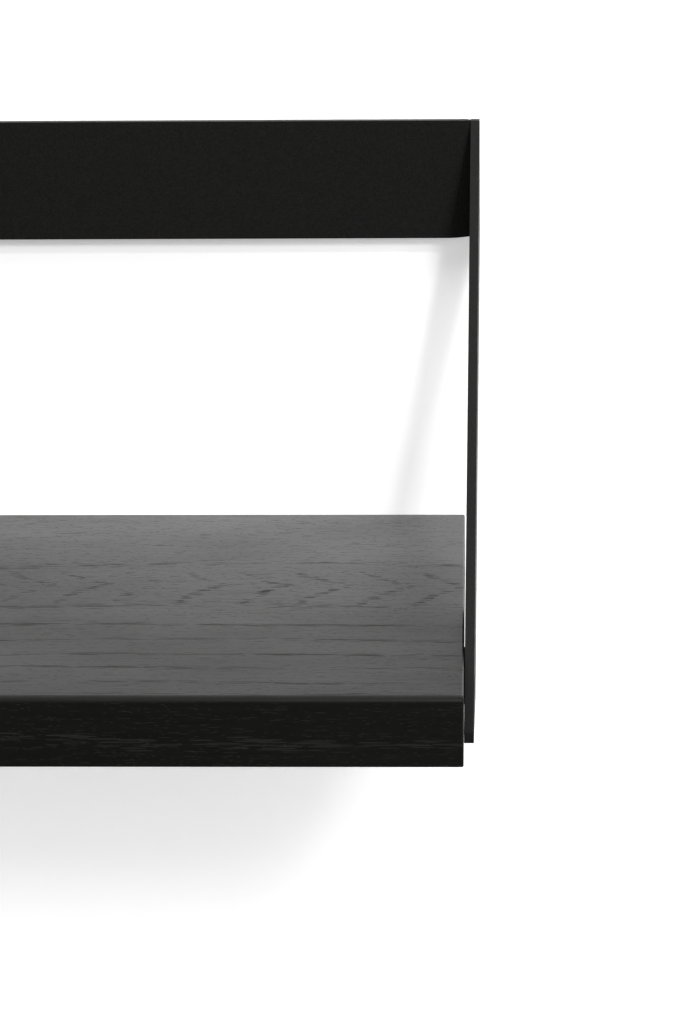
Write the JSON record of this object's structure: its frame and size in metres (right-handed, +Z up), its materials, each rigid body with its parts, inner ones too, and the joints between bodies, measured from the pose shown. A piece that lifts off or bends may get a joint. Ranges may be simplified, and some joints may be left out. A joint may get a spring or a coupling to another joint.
{
  "type": "wall shelf with brackets",
  "caption": "Wall shelf: a black-stained solid oak board hung from a flat steel wall rail by a slanted steel strap at each end.",
  "frame": {"origin": "on the wall plane, midway between the two wall-screw holes at the rail's back face", "axes": "+X along the board to the viewer's right, +Y into the wall, +Z up"},
  "size_m": [0.6104, 0.2, 0.159],
  "materials": {
    "black_oak": "black stain under satin lacquer, open oak grain",
    "black_steel": "fine matt black powder coat",
    "black_screw": "black oxide",
    "brass_insert": "turned",
    "black_nylon": "matt",
    "bumper_rubber": "matt"
  },
  "bodies": {
    "root": {"shelf_board": "black_oak", "top_rail": "black_steel", "right_side_strap": "black_steel", "left_side_strap": "black_steel", "right_back_weld": "black_steel", "left_back_weld": "black_steel", "right_front_screw": "black_screw", "right_rear_screw": "black_screw", "left_front_screw": "black_screw", "left_rear_screw": "black_screw", "right_front_insert": "brass_insert", "right_rear_insert": "brass_insert", "left_front_insert": "brass_insert", "left_rear_insert": "brass_insert", "right_front_spacer": "black_nylon", "right_rear_spacer": "black_nylon", "left_front_spacer": "black_nylon", "left_rear_spacer": "black_nylon", "right_wall_bumper": "bumper_rubber", "left_wall_bumper": "bumper_rubber"}
  },
  "joints": []
}
